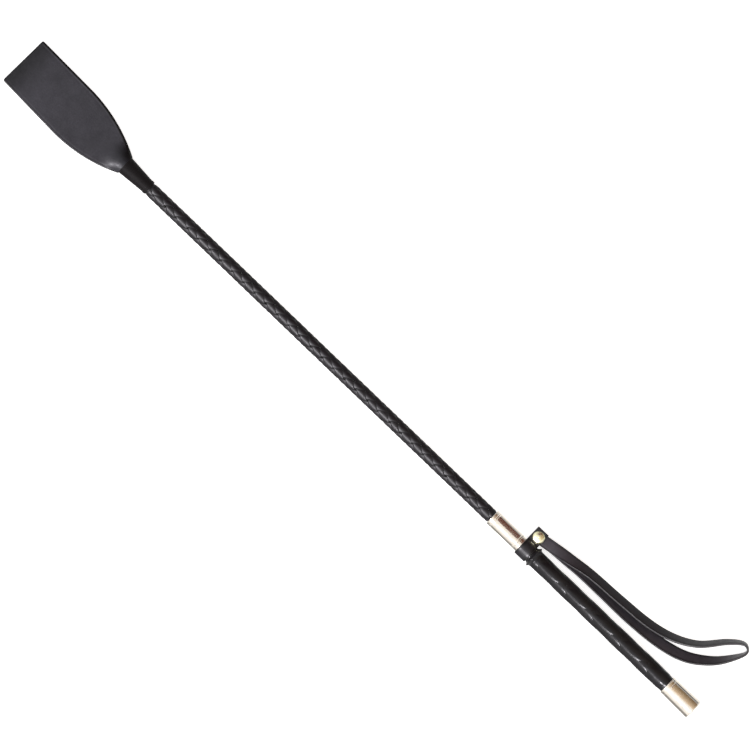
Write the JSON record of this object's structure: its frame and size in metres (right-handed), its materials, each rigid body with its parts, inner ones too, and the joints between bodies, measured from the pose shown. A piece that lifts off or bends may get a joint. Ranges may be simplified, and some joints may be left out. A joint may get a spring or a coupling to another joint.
{
  "type": "riding crop",
  "caption": "Short braided leather riding crop with a square leather tongue, a plaited grip, metal ferrule and butt cap, and a riveted wrist loop.",
  "frame": {"origin": "centre of the butt cap's flat end face, on the crop's own axis", "axes": "+X along the shaft from the butt to the tongue; +Z the normal of the tongue's face, away from the surface the crop lies on; the wrist loop lies on the -Y side"},
  "size_m": [0.6503, 0.0776, 0.016],
  "materials": {
    "shaft_leather": "braided, satin",
    "grip_leather": "plaited, satin",
    "tongue_leather": "fine pebble grain, matte",
    "strap_leather": "smooth, satin",
    "binding_thread": "waxed thread",
    "gold_metal": "polished",
    "rivet_brass": "polished",
    "fibreglass": "smooth",
    "padding": "matte",
    "plug_wood": "plain"
  },
  "bodies": {
    "handle": {"core_rod": "fibreglass", "shaft_braid": "shaft_leather", "tip_whipping": "binding_thread", "tongue_front_tail": "tongue_leather", "tongue_back_tail": "tongue_leather", "tongue_binding": "binding_thread", "ferrule": "gold_metal", "ferrule_liner": "padding", "grip_tube": "padding", "grip_braid": "grip_leather", "grip_end_whipping": "binding_thread", "grip_top_ring": "grip_leather", "butt_cap": "gold_metal", "butt_plug": "plug_wood"},
    "collar": {"collar_strap": "strap_leather", "rivet_cap": "rivet_brass", "rivet_base": "rivet_brass"},
    "strap_ends": {"strap_front_end": "strap_leather", "strap_back_end": "strap_leather"},
    "loop": {"wrist_loop": "strap_leather"},
    "tongue": {"tongue_front_leaf": "tongue_leather", "tongue_back_leaf": "tongue_leather"}
  },
  "joints": [
    {"name": "collar_turn", "type": "hinge", "parent": "handle", "child": "collar", "pos_m": [0.1616, 0, 0], "axis": [1, 0, 0], "continuous": true},
    {"name": "loop_swing", "type": "hinge", "parent": "collar", "child": "strap_ends", "pos_m": [0.161, -0.012, 0], "axis": [0, 0, 1], "range_deg": [-3, 150]},
    {"name": "loop_flex", "type": "hinge", "parent": "strap_ends", "child": "loop", "pos_m": [0.15112, -0.01356, 0], "axis": [-0.1564, 0.9877, 0], "range_deg": [-80, 80], "stiffness_Nm_per_rad": 0.02},
    {"name": "tongue_flex", "type": "hinge", "parent": "handle", "child": "tongue", "pos_m": [0.5507, 0, 0], "axis": [0, -1, 0], "range_deg": [-60, 60], "stiffness_Nm_per_rad": 0.2}
  ]
}
